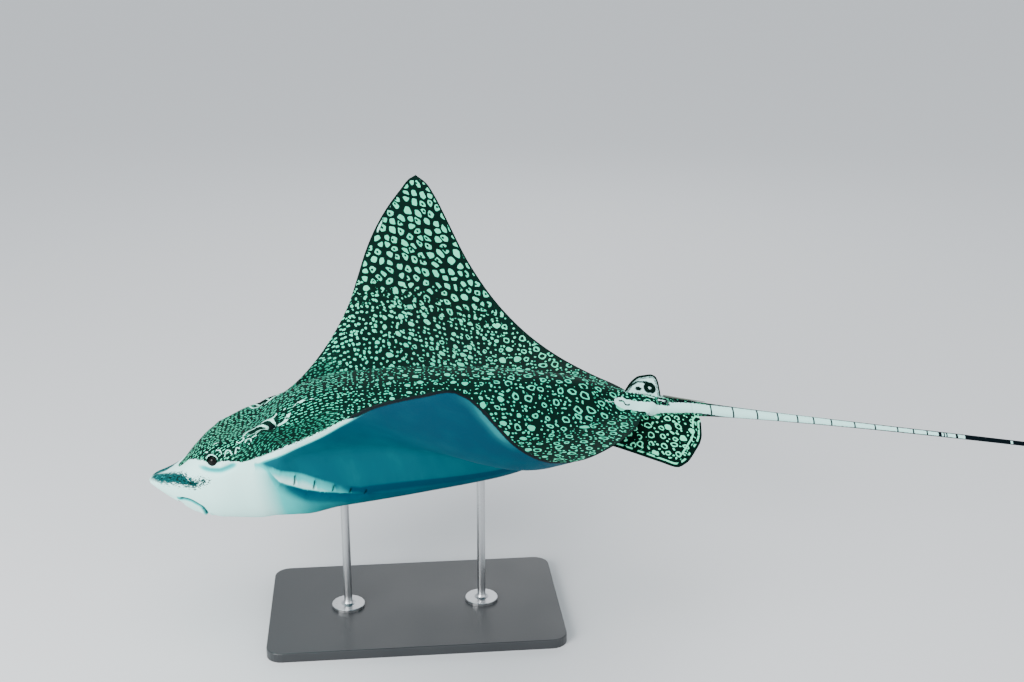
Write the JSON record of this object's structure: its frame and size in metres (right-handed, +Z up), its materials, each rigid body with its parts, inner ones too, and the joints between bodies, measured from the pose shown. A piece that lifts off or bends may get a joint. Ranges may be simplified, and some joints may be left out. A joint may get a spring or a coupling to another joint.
{
  "type": "spotted eagle ray",
  "caption": "Life-size spotted eagle ray with raised wings, a duck-like snout and a whip tail, held above a flat base by slim rods.",
  "frame": {"origin": "under the middle of the stand's base, on the floor", "axes": "the ray faces -X and its left side is -Y; +Z is up and +X runs back along the tail"},
  "size_m": [3.4086, 1.4182, 0.7215],
  "materials": {
    "skin": "satin painted skin, dark green with pale spots and rings above, white below",
    "eye": "gloss",
    "spine": "satin bone",
    "base_paint": "satin black lacquer",
    "rod_steel": "brushed"
  },
  "bodies": {
    "root": {"head": "skin", "trunk": "skin", "wing_left": "skin", "wing_right": "skin", "pelvic_left": "skin", "pelvic_right": "skin", "dorsal_fin": "skin", "tail_base": "skin", "tail_middle": "skin", "tail_end": "skin", "sting": "spine", "eye_left": "eye", "eye_right": "eye", "stand_base": "base_paint", "stand_rod_front": "rod_steel", "stand_rod_rear": "rod_steel"}
  },
  "joints": []
}
